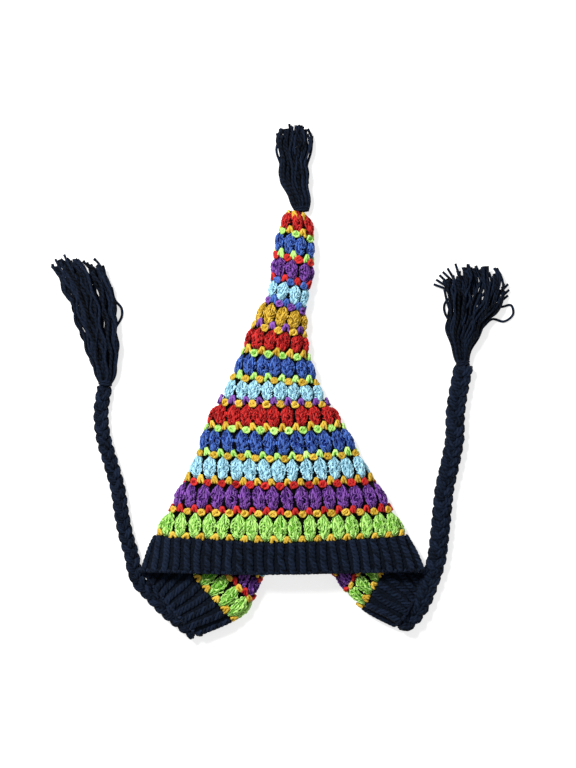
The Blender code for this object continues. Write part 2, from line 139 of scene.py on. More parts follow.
# A puff leaves room for the small stitches at its foot and its head, in mm. PUFF_WIDTH is half its
# width as a share of the pitch, and PUFF_DEPTH half its thickness in mm.
PUFF_FOOT = 3.2
PUFF_HEAD = 0.3
FIRST_PUFF_FOOT = 0.8
PUFF_WIDTH = 0.45
PUFF_DEPTH = 3.9
PUFF_KINDS = 6
PUFF_SEED = 100
# How the puffs of a round differ: drift as a share of the pitch, the rest as shares of their size
PUFF_DRIFT = 0.045
PUFF_WIDTHS = (0.90, 1.10)
PUFF_LEAN = 0.16
PUFF_DEPTHS = (0.90, 1.05)

# How many sides the tubes of fine strands, of yarns and of ropes have. A path steeper than this
# share upwards starts its sides from the x axis.
STRAND_SIDES = 4
YARN_SIDES = 5
ROPE_SIDES = 6
STEEP = 0.8

# Strands of a puff: long ones from its bottom to its top, and over them short loops. Shifts, slants
# and bends are in radians, and the rest are shares of the puff's outline.
STRAND_RADIUS = 0.80
STRAND_END = 0.7
LONG_STRANDS = 7
LONG_STEPS = 6
LONG_SEAT = 0.90
LONG_SHIFT = 0.3
LONG_TWIST = 0.6
LOOPS_OUTSIDE = 36
LOOPS_INSIDE = 14
LOOP_STEPS = 4
LOOP_LOWEST = -0.80
LOOP_SPAN = 1.50
LOOP_ENDS = (-1.0, 0.96)
LOOP_SPACING = 0.618
LOOP_JITTER = 0.06
LOOP_SLANT = 0.8
LOOP_REACH = (0.17, 0.30)
LOOP_SKEW = 1.7
LOOP_BEND = 0.25
LOOP_SEAT = 0.78
LOOP_RISE = (0.18, 0.36)
LOOP_ROUNDING = 0.6

# Solid heart of each puff, under its strands. It is coloured at the yarn's dark end: painted shade in the
# gaps between the strands.
CORE_HEIGHTS = np.array([-0.97, -0.6, -0.1, 0.35, 0.72, 0.97])
CORE_SIDES = 8
CORE_SHARE = 0.80
CORE_PAINTED_SHADE = -0.1

# Thin fabric behind the stitches. Behind the puffs its colour is pushed to black: painted shade in the
# gaps between them.
CLOTH_ROWS = 4
CLOTH_GAP = 0.5
CLOTH_HALF = 0.7
CLOTH_PAINTED_SHADE = -1.0
BAND_CLOTH_ROWS = 7
BAND_CLOTH_COUNT = 120
BAND_CLOTH_HALF = 1.0
# The band's cloth is a little darker than the ribs' yarns: painted shade in the recesses between the
# ribs.
BAND_CLOTH_PAINTED_SHADE = 0.15

# Small stitches between the rounds. Each lies on a patch of fabric that reaches this far up and down
# from its middle, and is turned (radians) and shifted (mm) by up to this much.
STITCH_SEED = 300
STITCH_HALF = 4.0
STITCH_TURN = 0.28
STITCH_SHIFT = 0.45
# Random tones of the strands set deeper inside the small stitches, kept darker than the outer ones:
# painted shade in their middles.
INNER_PAINTED_SHADES = (0.0, 0.8)

# Round stitches, a ring of yarn crossed by a V, in mm
RING_LIFT = 0.3
RING_STEPS = 10
RING_WIDTH = 2.65
RING_HEIGHT = 2.05
RING_OUT = 2.0
RING_WAVE = 0.7
RING_LOBES = 3
RING_YARN = 1.35
RING_SIZES = (0.92, 1.12)
RING_WOBBLES = (0.05, 0.18)
RING_SHADES = (0.35, 1.0)
CROSS_STEPS = 5
CROSS_WIDTH = 2.3
CROSS_HEIGHT = 2.5
CROSS_OUT = 1.2
CROSS_BULGE = 1.7
CROSS_YARN = 1.05
CROSS_LEANS = (0.4, 1.1)

# Pointed stitches, an inverted V of yarn round a short strand, in mm
TIP_LIFT = 3.1
FIRST_TIP_LIFT = 3.2
POINT_STEPS = 8
POINT_WIDTH = 2.75
POINT_TOP = 3.1
POINT_DROP = 6.2
POINT_OUT = 2.1
POINT_BULGE = 0.8
POINT_YARN = 1.40
POINT_SIZES = (0.88, 1.12)
POINT_LEAN = 0.9
POINT_FLARE = 0.9
POINT_CURVE = 1.2
POINT_SHADES = (0.4, 1.0)
HEART_SWAY = 0.7
HEART_BEND = 2.2
HEART_LEAN = 0.5
HEART_TOP = 3.0
HEART_OUT = 1.7
HEART_BULGE = 0.9
HEART_YARN = 1.25
CLOSING_HEIGHT = 316.0
CLOSING_COUNT = 6
CLOSING_PHASE = 0.3
CLOSING_SEED = 17

# Ribs of the band: each is a rope of yarns, flatter out of the fabric than along it, that runs down
# one face and curls round the hem. ROPE_TURN is the length in mm of one whole twist.
BAND_SEED = 7
RIB_PITCH = 9.2
RIB_HALF_DEPTH = 1.75
RIB_TOP_GAP = 0.5
RIB_STEPS = 24
RIB_SWAYS = (0.2, 0.7)
RIB_SWAY_LENGTH = 4.5
HEM_RISE = 2.6
HEM_TURN = 1.4
HEM_STEPS = 6
HEM_CURL = 0.9 * math.pi
ROPE_YARNS = 3
ROPE_TURN = 12.0
ROPE_WIDE = 1.8
ROPE_DEEP = 0.95
ROPE_YARN = 1.45
ROPE_SHADES = (0.2, 0.85)
# Stations round the hat, and how far the hem hangs past the fabric's end there, in mm
HEM_REACHES = [(0, 0.3), (1, 3.0), (2.2, 5.5), (3.2, 7.0), (4.4, 8.0), (5.4, 5.0), (6.4, 2.0), (7.4, 0.0),
               (11.3, 1.0), (12.2, 3.0), (13.2, 2.0), (14.2, 6.0), (15.2, 9.0), (16.6, 9.5), (17.4, 6.5),
               (18.7, 3.0), (19.4, 1.2), (20, 0.3)]

# Routes of the two ties, from the ear corner to the tassel's neck: x, y and lift off the floor
TIE_RADIUS_LEFT = 6.0
TIE_RADIUS_RIGHT = 7.2
TIE_LEFT_ROUTE = [(-78.5, -98.3, 5), (-90, -89.5, 2.8), (-100, -82, 0.6), (-109.5, -73, 0),
                  (-119, -63, 0), (-128, -53, 0), (-132.4, -41, 0), (-134.4, -30, 0), (-139, -14, 0),
                  (-143, 5, 0), (-146.7, 29, 0), (-153, 52, 0), (-159.5, 75, 0), (-161.6, 97, 0),
                  (-158.6, 119, 0)]
TIE_RIGHT_ROUTE = [(104.5, -92, 3.6), (114.6, -83.8, 2.4), (121.7, -74, 0.8), (126.5, -63, 0),
                   (131.5, -49, 0), (136, -34, 0), (138.8, -14, 0), (141, 8, 0), (143, 28, 0),
                   (148.5, 53, 0), (152.3, 73, 0), (153, 97, 0), (156.5, 120, 0), (160, 137, 0)]
TIE_STEP = 2.0
ROUTE_STEPS = 400

# Plaits of the ties. Swell, strand, rise and lean are shares of the radius, and PLAIT_OPENING is the
# stretch in mm at the hem over which the plait opens by PLAIT_SPREAD.
PLAIT_SWELL_LEFT = 1.2
PLAIT_SWELL_RIGHT = 1.27
PLAIT_STRANDS = 3
PLAIT_STRAND = 0.47
PLAIT_PERIOD = 27.0
PLAIT_RISE = 0.45
PLAIT_LEAN = 0.9
PLAIT_OPENING = 62.0
PLAIT_SPREAD = 0.11
PLAIT_EASE = 0.7
# Each strand is a bundle of yarns round one in its heart. BUNDLE_TWIST is the length of one turn.
BUNDLE_YARNS = 6
BUNDLE_YARN = 0.40
BUNDLE_TWIST = 60.0
BUNDLE_SHADES = (0.2, 0.8)

# Sections of the tassels from the neck to the cut ends: x, y, width and thickness
TASSEL_LEFT = [(-158, 120.5, 10, 10), (-157.5, 132, 22, 15), (-159.3, 147, 27, 18),
               (-162.2, 163, 33.5, 20), (-166.8, 184, 39.5, 20), (-171.5, 203, 42, 19),
               (-179, 218, 43, 16), (-187, 231, 37, 12)]
TASSEL_RIGHT = [(160, 138.3, 10, 10), (158.4, 152, 20, 16), (160.5, 170, 33, 20), (165, 188, 45, 20),
                (169.5, 201, 58, 17), (170.5, 214, 61, 14), (168.5, 227, 52, 11)]
TASSEL_TIP = [(17, 275, 13, 10), (15.3, 286, 20.5, 14), (11.3, 299, 23.5, 16), (9, 312, 27, 18),
              (9, 325, 30, 17), (9.6, 337, 33, 14), (9, 350, 28, 11)]
# How much shorter the yarns are at the right side of each tassel, and at both its sides
Trim = namedtuple("Trim", "slant rounding")
TRIM_LEFT = Trim(0.11, 0.0)
TRIM_RIGHT = Trim(0.0, 0.13)
TRIM_TIP = Trim(0.0, 0.03)
TASSEL_STRANDS = 78
TASSEL_YARN = 1.25
TASSEL_STEP = 2.6
TASSEL_LENGTHS = (0.86, 1.03)
TASSEL_HEART = 0.02
TASSEL_SHADES = (-0.1, 0.75)
# The yarns are thinner at the neck, over this many steps, and fluff out at their cut ends
NECK_END_STEPS = 3
NECK_END = 0.8
CUT_END = 1.25
# Tiny push that gives the yarns a direction past the last section, where the curve stands still
PAST_END = 1e-6
# Waves of the yarns, sideways and up, in mm. They grow over the stretch WAVE_START from the neck.
WAVE_START = 30.0
WAVE_PHASE = 2.2
WAVE_JITTER = 0.7
WAVE_WIDTHS = (0.8, 2.0)
WAVE_LENGTHS = (24, 36)
WAVE_HEIGHTS = (0.3, 1.2)
WAVE_RISES = (15, 30)
# Yarn wound round each neck
NECK_TURNS = 2
NECK_STEPS = 14
NECK_START = 1.0
NECK_PITCH = 2.2
NECK_SPREAD = 0.10
NECK_LIFT = 0.8
NECK_SHADES = (0.4, 0.6)

# Single yarns that have strayed out of each tassel: x, y, z
STRAYS_LEFT = [
    [(-190, 204, 6), (-197, 214, 2), (-196, 205, 1.3), (-191, 199, 1.3), (-184, 196, 6)],
    [(-152, 208, 8), (-149, 196, 3), (-144, 190, 1.3), (-143.5, 183, 1.3), (-147, 176, 1.3),
     (-151, 170, 5)],
    [(-186, 210, 8), (-198, 219, 5), (-206, 227, 3)],
    [(-186, 212, 12), (-197, 224, 9), (-202, 233, 7)],
    [(-180, 212, 13), (-189, 226, 11), (-194, 237, 9)],
]
STRAYS_RIGHT = [
    [(172, 166, 6), (179, 174, 2), (186, 180, 1.3), (197, 178, 1.3), (205, 185, 1.3), (203, 192.5, 1.3),
     (195, 191, 1.3), (185, 192, 3), (176, 196, 8)],
    [(152, 170, 6), (147, 180, 2), (144, 186, 1.3), (143.5, 192, 1.3), (146, 197, 1.3), (152, 198, 6)],
    [(158, 196, 10), (146, 206, 5), (134, 211, 3)],
    [(157, 198, 11), (145, 209, 7), (136, 215, 5)],
    [(158, 200, 12), (147, 211, 8), (139, 219, 5)],
    [(160, 202, 11), (150, 214, 6), (142, 222, 4)],
    [(160, 202, 13), (151, 216, 9), (146, 225, 7)],
    [(163, 204, 13), (156, 219, 9), (153, 229, 7)],
    [(170, 202, 13), (176, 216, 10), (179, 225, 8)],
    [(176, 200, 11), (186, 212, 8), (191, 219, 6)],
    [(178, 194, 9), (192, 203, 6), (200, 211, 4)],
    [(177, 190, 8), (192, 198, 5), (201, 206, 3)],
    [(176, 186, 6), (190, 193, 4), (200, 201, 3)],
]
STRAYS_TIP = [
    [(22, 300, 8), (21, 315, 5), (25, 330, 2), (26, 343, 2)],
    [(-1, 325, 8), (-4, 338, 6), (-5.5, 345, 5)],
    [(6, 335, 9), (6.5, 346, 8), (5.5, 353, 7)],
    [(12, 335, 11), (13.5, 345, 10), (14.5, 352, 8)],
]
STRAY_STEPS = 5
STRAY_SHADES = (0.2, 0.7)

# Linear colours of each yarn at the dark (hollow) and light (crown) ends of its tones.
# Strands take random tones between them. The hollow end is also painted shade on the puff cores, on the
# cloth
# behind the stitches and in the ply grooves. The crown end is painted highlight on the ply ridges.
Wool = namedtuple("Wool", "hollow crown")
YARN_COLOURS = {
    "lime": Wool((0.13, 0.35, 0.035), (0.55, 0.88, 0.25)),
    "purple": Wool((0.03, 0.006, 0.08), (0.25, 0.092, 0.43)),
    "light_blue": Wool((0.16, 0.34, 0.43), (0.48, 0.82, 0.97)),
    "royal_blue": Wool((0.004, 0.010, 0.11), (0.080, 0.175, 0.54)),
    "red": Wool((0.17, 0.003, 0.005), (0.61, 0.034, 0.030)),
    "gold": Wool((0.30, 0.165, 0.005), (0.71, 0.475, 0.065)),
    "navy": Wool((0.0008, 0.0016, 0.0032), (0.0085, 0.0155, 0.035)),
}

# Wool of two plies, twisted by PLY_TURN radians a mm, with fine fuzz
WOOL_ROUGHNESS = 0.85
WOOL_SPECULAR = 0.06
WOOL_SHEEN = 0.01
WOOL_SHEEN_ROUGHNESS = 0.5
PLIES = 2.0
PLY_TURN = 1.45
# Painted shade in the ply grooves and painted highlight on their ridges, as a share of the colour ramp
PLY_PAINTED_SHADE = 0.20
PLY_HEIGHT = 0.5
FUZZ_SCALE = 620.0
FUZZ_DETAIL = 3.0
FUZZ_MIDDLE = 0.5
FUZZ_TONE = 0.9
BUMP_STRENGTH = 0.7
BUMP_DISTANCE = 0.0005

# Studio, in metres, watts and degrees
WHITE = (1.0, 1.0, 1.0, 1.0)
FLOOR_REACH = 3.0
FLOOR_COLOUR = (0.48, 0.48, 0.48, 1.0)
FLOOR_ROUGHNESS = 0.9
FLOOR_GLOW = 0.68
SKY_STRENGTH = 0.45
LAMP_SIZE = 0.5
LAMP_POWER = 48.0
LAMP_PLACE = (-0.7, 0.9, 1.5)
LAMP_TILT = (-28, -26, 0)


def unit(vector):
    """The vector, or each of many, made one long."""
    length = np.linalg.norm(vector, axis=-1, keepdims=True)
    return vector / np.maximum(length, TINY)


def arc_length(points):
    """Distance along each line of points (..., point, axis), from its start to each of its points."""
    steps = np.linalg.norm(np.diff(points, axis=-2, prepend=points[..., :1, :]), axis=-1)
    return np.cumsum(steps, axis=-1)


def smooth_run(points, knots, at):
    """Points at the knot values `at` on the smooth curve through the given points."""
    step = np.diff(knots)[:, None]
    rise = np.diff(points, axis=0) / step
    slopes = np.empty_like(points)
    slopes[1:-1] = (step[:-1] * rise[1:] + step[1:] * rise[:-1]) / (step[:-1] + step[1:])
    slopes[0] = rise[0]
    slopes[-1] = rise[-1]
    index = np.clip(np.searchsorted(knots, at, side="right") - 1, 0, len(knots) - 2)
    span = (knots[index + 1] - knots[index])[:, None]
    t = (at - knots[index])[:, None] / span
    start = points[index] * (2 * t**3 - 3 * t**2 + 1) + slopes[index] * span * (t**3 - 2 * t**2 + t)
    end = points[index + 1] * (3 * t**2 - 2 * t**3) + slopes[index + 1] * span * (t**3 - t**2)
    return start + end


def side_controls(level, side, front, nape):
    """The control points of one side of a level, from the front layer round to the nape."""
    half = level.half_width - ROUND_EDGE
    edge = np.array([level.centre_x + side * half, level.edge_y - side * level.tilt, 0.0])
    crease_xy = (level.right_x, level.right_y) if side > 0 else (level.left_x, level.left_y)
    crease = np.array([*crease_xy, 0.0])

    front_way = unit(front * (1, 1, 0) - edge)
    flap_way = unit(crease - edge)
    radius = min(level.fold_r, FOLD_SHARE * half)
    fold_z = FLOOR_LAYER_Z + level.fold_r
    shoulder = edge + front_way * radius + (0, 0, fold_z + level.fold_r)
    quarter = 0.5 * (front + shoulder) + (0, 0, SHOULDER_SAG * (front[2] - shoulder[2]))
    edge_turn = edge + (0, 0, fold_z)
    flap_start = edge + flap_way * radius + (0, 0, FLOOR_LAYER_Z)

    nape_way = unit(nape * (1, 1, 0) - crease)
    corner = CORNER_SHARE * np.linalg.norm(nape * (1, 1, 0) - crease) * (1.0 - level.arch)
    crease_r = max(0.5 * (level.flap_z - level.nape_z), corner)
    flap_end = crease - flap_way * crease_r + (0, 0, level.flap_z)
    flap_middle = 0.5 * (flap_start + flap_end) * (1, 1, 0) + (0, 0, level.mid_z)
    crease_turn = crease + (0, 0, 0.5 * (level.flap_z + level.nape_z))
    across = level.right_lean if side > 0 else level.left_lean
    along = NAPE_ALONG - NAPE_PULL * level.arch
    nape_middle = crease + (nape - crease) * (across, along, 0) + (0, 0, level.nape_z)
    turn_way = unit((nape_middle - crease) * (1, 1, 0)) if level.arch > 0.5 else nape_way
    nape_start = crease + turn_way * crease_r * CREASE_REACH + (0, 0, level.nape_z)
    return [quarter, shoulder, edge_turn, flap_start, flap_middle, flap_end, crease_turn, nape_start,
            nape_middle]


def level_controls(level):
    """Closed loop of control points: front middle, left side, nape middle, right side."""
    front = np.array([level.centre_x, level.front_y, level.front_z], float)
    nape = np.array([0.5 * (level.left_x + level.right_x), level.nape_y, level.nape_z])
    left = side_controls(level, -1, front, nape)
    right = side_controls(level, 1, front, nape)
    return np.array([front] + left + [nape] + right[::-1])


LEVEL_HEIGHTS = np.array([level.height for level in LEVELS], float)
CONTROLS = np.array([level_controls(level) for level in LEVELS])
Fabric = namedtuple("Fabric", "place along up out")


def loop_at(height, stations):
    """Points round the hat at one height, at station values from 0 to the number of controls."""
    flat = CONTROLS.reshape(len(LEVELS), -1)
    points = smooth_run(flat, LEVEL_HEIGHTS, np.array([float(height)])).reshape(LOOP_CONTROLS, 3)
    padded = np.concatenate([points[-2:], points, points[:3]])
    chord = np.maximum(np.linalg.norm(np.diff(padded, axis=0), axis=1), SHORTEST_CHORD) ** 0.5
    knots = np.concatenate([[0.0], np.cumsum(chord)])
    whole = np.floor(stations).astype(int)
    index = whole % LOOP_CONTROLS + 2
    at = knots[index] + (stations - whole) * (knots[index + 1] - knots[index])
    return smooth_run(padded, knots, at)


def fabric(height, stations):
    """Place on the fabric, and the directions along the round, up the hat and out of it."""
    low = max(height - PROBE_HEIGHT, LEVEL_HEIGHTS[0])
    high = min(height + PROBE_HEIGHT, LEVEL_HEIGHTS[-1] - TIP_MARGIN)
    up = unit(loop_at(high, stations) - loop_at(low, stations))
    along = unit(loop_at(height, stations + PROBE_STATION) - loop_at(height, stations - PROBE_STATION))
    return Fabric(loop_at(height, stations), along, up, unit(np.cross(up, along)))


def even_stations(height, count, phase=0.0):
    """Station values that share the loop at one height into equal lengths, and its length."""
    length = arc_length(loop_at(height, FINE_STATIONS))
    at = (np.arange(count) + phase) * length[-1] / count
    return np.interp(at, length, FINE_STATIONS), length[-1]


def repeat_count(height, pitch):
    """How many stitches of a pitch fit round the hat at one height."""
    return round(arc_length(loop_at(height, FINE_STATIONS))[-1] / pitch)


def upright(stations, middle, height):
    """Stations at another height that stand straight above those at the middle height.

    On the front layer stitches keep their distance from its middle line, so that they stand upright
    while the hat narrows. Round the folds they go over to following the fabric's own lines."""
    middle_length = arc_length(loop_at(middle, FINE_STATIONS))
    length = arc_length(loop_at(height, FINE_STATIONS))
    stations = stations % LOOP_CONTROLS
    from_front = np.minimum(stations, LOOP_CONTROLS - stations)
    share = np.interp(from_front, UPRIGHT_ENDS, (UPRIGHT_SHARE, 0.0))
    there = np.interp(stations, FINE_STATIONS, middle_length)
    here = np.interp(stations, FINE_STATIONS, length)
    right = stations > 0.5 * LOOP_CONTROLS
    kept = np.where(right, length[-1] - (middle_length[-1] - there), there)
    return np.interp(here + share * (kept - here), length, FINE_STATIONS)


def new_object(name, data):
    """A new object in the scene."""
    made = bpy.data.objects.new(name, data)
    bpy.context.scene.collection.objects.link(made)
    return made


class Yarn:
    """Collects yarn tubes and solid lumps, and joins them into one mesh."""

    def __init__(self):
        self.points = []
        self.faces = []
        self.lay = []
        self.shade = []
        self.count = 0

    def add(self, points, faces, lay, shade):
        """Points, triangles, and for each point its lay round and along the yarn and its shade."""
        self.points.append(points.reshape(-1, 3))
        self.faces.append(faces.reshape(-1, 3) + self.count)
        self.lay.append(lay.reshape(-1, 3))
        self.shade.append(shade.reshape(-1))
        self.count += len(self.points[-1])

    def tubes(self, paths, radius, sides, shade, facing=None):
        """Tubes along paths (strand, point, xyz). radius has a value for each point of each strand.

        facing is the direction that the first side of a tube starts from."""
        strands, steps, _ = paths.shape
        ways = unit(np.gradient(paths, axis=1))
        if facing is None:
            facing = np.where(np.abs(ways[:, :1, 2:]) < STEEP, (0.0, 0.0, 1.0), (1.0, 0.0, 0.0))
            facing = np.broadcast_to(facing, paths[:, :1].shape)
        normal = np.empty_like(paths)
        last = facing[:, 0]
        for k in range(steps):
            way = ways[:, k]
            guide = facing[:, k] if facing.shape[1] == steps else last
            last = unit(guide - (guide * way).sum(axis=-1, keepdims=True) * way)
            normal[:, k] = last
        across = np.cross(ways, normal)
        angle = np.arange(sides) * TURN / sides
        around = (normal[:, :, None] * np.cos(angle)[:, None]
                  + across[:, :, None] * np.sin(angle)[:, None])
        radius = np.broadcast_to(radius, (strands, steps))
        points = paths[:, :, None] + around * radius[:, :, None, None]
        lay = np.empty((strands, steps, sides, 3))
        lay[..., 0] = np.cos(angle)
        lay[..., 1] = np.sin(angle)
        lay[..., 2] = arc_length(paths)[:, :, None]
        tone = np.broadcast_to(np.asarray(shade, float).reshape(-1, 1, 1), (strands, steps, sides))
        self.add(points, tube_faces(strands, steps, sides), lay, tone)

    def lumps(self, rings, shade):
        """Closed lumps from rings of points (lump, ring, side, xyz)."""
        lumps, steps, sides, _ = rings.shape
        angle = np.arange(sides) * TURN / sides
        lay = np.zeros((lumps, steps, sides, 3))
        lay[..., 0] = np.cos(angle)
        lay[..., 1] = np.sin(angle)
        tone = np.full((lumps, steps, sides), shade)
        self.add(rings, tube_faces(lumps, steps, sides), lay, tone)

    def piece(self, name, material):
        """One object of all that was added, kept above the floor."""
        points = np.concatenate(self.points) * MM
        points[:, 2] = np.maximum(points[:, 2], 0.0)
        mesh = bpy.data.meshes.new(name)
        mesh.from_pydata(points, [], np.concatenate(self.faces))
        mesh.attributes.new("lay", "FLOAT_VECTOR", "POINT").data.foreach_set(
            "vector", np.concatenate(self.lay).astype(np.float32).ravel())
        mesh.attributes.new("shade", "FLOAT", "POINT").data.foreach_set(
            "value", np.concatenate(self.shade).astype(np.float32))
        mesh.shade_smooth()
        mesh.materials.append(material)
        return new_object(name, mesh)


def tube_faces(strands, steps, sides):
    """Triangles of closed tubes whose points are numbered strand by strand, ring by ring."""
    ring = np.arange(sides)
    after = (ring + 1) % sides
    lower = np.arange(steps - 1)[:, None] * sides
    quads = np.stack([lower + ring, lower + after, lower + sides + after, lower + sides + ring], axis=-1)
    quads = quads.reshape(-1, 4)
    wall = np.concatenate([quads[:, [0, 1, 2]], quads[:, [0, 2, 3]]])
    fan = np.arange(1, sides - 1)
    start = np.stack([np.zeros_like(fan), fan + 1, fan], axis=-1)
    end = np.stack([np.zeros_like(fan), fan, fan + 1], axis=-1) + (steps - 1) * sides
    one = np.concatenate([wall, start, end])
    return one[None] + (np.arange(strands) * steps * sides)[:, None, None]


def yarn_material(yarn):
    """Soft two-ply wool: the twist of the plies shows in the bump, and in the colour as painted shade in
    the grooves and painted highlight on the ridges.
    """
    material = bpy.data.materials.new("wool_" + yarn)
    material.use_nodes = True
    nodes = material.node_tree.nodes
    links = material.node_tree.links
    shader = nodes["Principled BSDF"]
    shader.inputs["Roughness"].default_value = WOOL_ROUGHNESS
    shader.inputs["Specular IOR Level"].default_value = WOOL_SPECULAR
    shader.inputs["Sheen Weight"].default_value = WOOL_SHEEN
    shader.inputs["Sheen Roughness"].default_value = WOOL_SHEEN_ROUGHNESS

    def node(kind, **values):
        new = nodes.new(kind)
        for key, value in values.items():
            setattr(new, key, value)
        return new

    def maths(operation, *operands):
        step = node("ShaderNodeMath", operation=operation)
        for socket, value in zip(step.inputs, operands):
            if isinstance(value, bpy.types.NodeSocket):
                links.new(value, socket)
            else:
                socket.default_value = value
        return step.outputs[0]

    lay = node("ShaderNodeAttribute", attribute_name="lay")
    axes = node("ShaderNodeSeparateXYZ")
    links.new(lay.outputs["Vector"], axes.inputs[0])
    angle = maths("ARCTAN2", axes.outputs[1], axes.outputs[0])
    twist = maths("ADD", maths("MULTIPLY", angle, PLIES), maths("MULTIPLY", axes.outputs[2], PLY_TURN))
    ply = maths("SINE", twist)

    shade = node("ShaderNodeAttribute", attribute_name="shade")
    place = node("ShaderNodeTexCoord")
    fuzz = node("ShaderNodeTexNoise")
    fuzz.inputs["Scale"].default_value = FUZZ_SCALE
    fuzz.inputs["Detail"].default_value = FUZZ_DETAIL
    links.new(place.outputs["Object"], fuzz.inputs["Vector"])

    # Each strand's random tone, with painted shade in the ply grooves and painted highlight on the ridges
    ply_shaded_tone = maths("MULTIPLY_ADD", ply, PLY_PAINTED_SHADE, shade.outputs["Fac"])
    fluff = maths("MULTIPLY", maths("SUBTRACT", fuzz.outputs["Fac"], FUZZ_MIDDLE), FUZZ_TONE)
    # Ramp from the hollow colour to the crown colour. Tones below it, from the cores and the cloth, are
    # painted shade.
    ramp = node("ShaderNodeMix", data_type="RGBA", clamp_factor=False, clamp_result=True)
    factor, hollow, crown = ramp.inputs[0], ramp.inputs[6], ramp.inputs[7]
    links.new(maths("ADD", ply_shaded_tone, fluff), factor)
    hollow.default_value = (*YARN_COLOURS[yarn].hollow, 1.0)
    crown.default_value = (*YARN_COLOURS[yarn].crown, 1.0)
    links.new(ramp.outputs[2], shader.inputs["Base Color"])

    bump = node("ShaderNodeBump")
    bump.inputs["Strength"].default_value = BUMP_STRENGTH
    bump.inputs["Distance"].default_value = BUMP_DISTANCE
    relief = maths("ADD", maths("MULTIPLY", ply, PLY_HEIGHT), fuzz.outputs["Fac"])
    links.new(relief, bump.inputs["Height"])
    links.new(bump.outputs["Normal"], shader.inputs["Normal"])
    return material


def finish_piece(yarn, name, colour, replaced=None):
    """The yarn as a piece of the frame, and the solid that it takes the place of, if any."""
    piece = yarn.piece(name, MATERIALS[colour])
    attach(piece, "root")
    if replaced:
        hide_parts(replaced)
    return piece


def puff_outline(at):
    """Half width and half thickness of a puff, as shares of its greatest."""
    table = np.array(PUFF_SECTIONS)
    return np.interp(at, table[:, 0], table[:, 1]), np.interp(at, table[:, 0], table[:, 2])


def on_puff(at, turn, spread):
    """Points of a strand, from its heights (-1 to 1), its angles round the puff and its spread."""
    width, depth = puff_outline(at)
    return np.stack([width * np.cos(turn) * spread, at, depth * np.sin(turn) * spread], axis=-1)


def puff_kind(seed):
    """Strand paths of one kind of puff: across (-1 to 1), up (-1 to 1) and out (-1 to 1).

    Long strands run from the bottom to the gathered top. Over them lie short loops of the fluffy
    yarn, which rise out of the puff and dive back into it every way."""
    rng = np.random.default_rng(seed)
    t = np.linspace(0, 1, LONG_STEPS)
    long_strands = []
    for i in range(LONG_STRANDS):
        start = TURN * (i + rng.uniform(-LONG_SHIFT, LONG_SHIFT)) / LONG_STRANDS
        turn = start + rng.uniform(-LONG_TWIST, LONG_TWIST) * (t - 0.5)
        long_strands.append(on_puff(-1 + 2 * t, turn, LONG_SEAT))
    t = np.linspace(-1, 1, LOOP_STEPS)
    rise = np.cos(0.5 * math.pi * t) ** LOOP_ROUNDING
    loops = []
    for first, count in ((0.0, LOOPS_OUTSIDE), (0.5 * TURN, LOOPS_INSIDE)):
        for i in range(count):
            slant = rng.normal(0.0, LOOP_SLANT)
            reach = rng.uniform(*LOOP_REACH)
            share = (i * LOOP_SPACING + rng.uniform(-LOOP_JITTER, LOOP_JITTER)) % 1.0
            at = np.clip(LOOP_LOWEST + LOOP_SPAN * share + reach * math.cos(slant) * t, *LOOP_ENDS)
            turn = first + 0.5 * TURN * (i + rng.uniform(0.0, 1.0)) / count
            bend = rng.uniform(-LOOP_BEND, LOOP_BEND) * rise
            turn = turn + LOOP_SKEW * reach * math.sin(slant) * t + bend
            loops.append(on_puff(at, turn, LOOP_SEAT + rng.uniform(*LOOP_RISE) * rise))
    return [(np.array(paths), rng.uniform(0.0, 1.0, len(paths))) for paths in (long_strands, loops)]


class Places:
    """Curved frames of a row of stitches: a point across, up and out of each becomes a place."""

    def __init__(self, centre, along, out):
        self.centre = centre
        self.along = along
        self.out = out

    def pick(self, chosen):
        """Only some of the stitches."""
        return Places(self.centre[:, chosen], self.along[:, chosen], self.out[:, chosen])

    def put(self, local):
        """local is (stitch, ..., 3): across in mm, up from -1 to 1, out in mm."""
        shape = local.shape[:1] + (1,) * (local.ndim - 2) + (3,)
        up = local[..., 1:2]

        def along_height(three):
            low, middle, high = (part.reshape(shape) for part in three)
            return middle + up * 0.5 * (high - low) + up**2 * (0.5 * (low + high) - middle)

        across = unit(along_height(self.along))
        out = unit(along_height(self.out))
        return along_height(self.centre) + across * local[..., :1] + out * local[..., 2:]


def row_places(bottom, top, stations):
    """Frames of a row of stitches that reach from one height to another."""
    middle = 0.5 * (bottom + top)
    parts = [fabric(height, upright(stations, middle, height)) for height in (bottom, middle, top)]
    return Places(np.array([part.place for part in parts]), np.array([part.along for part in parts]),
                  np.array([part.out for part in parts]))


def puff_phase(number):
    """Puffs of a round stand above the gaps of the round below."""
    return 0.5 * (number % 2)


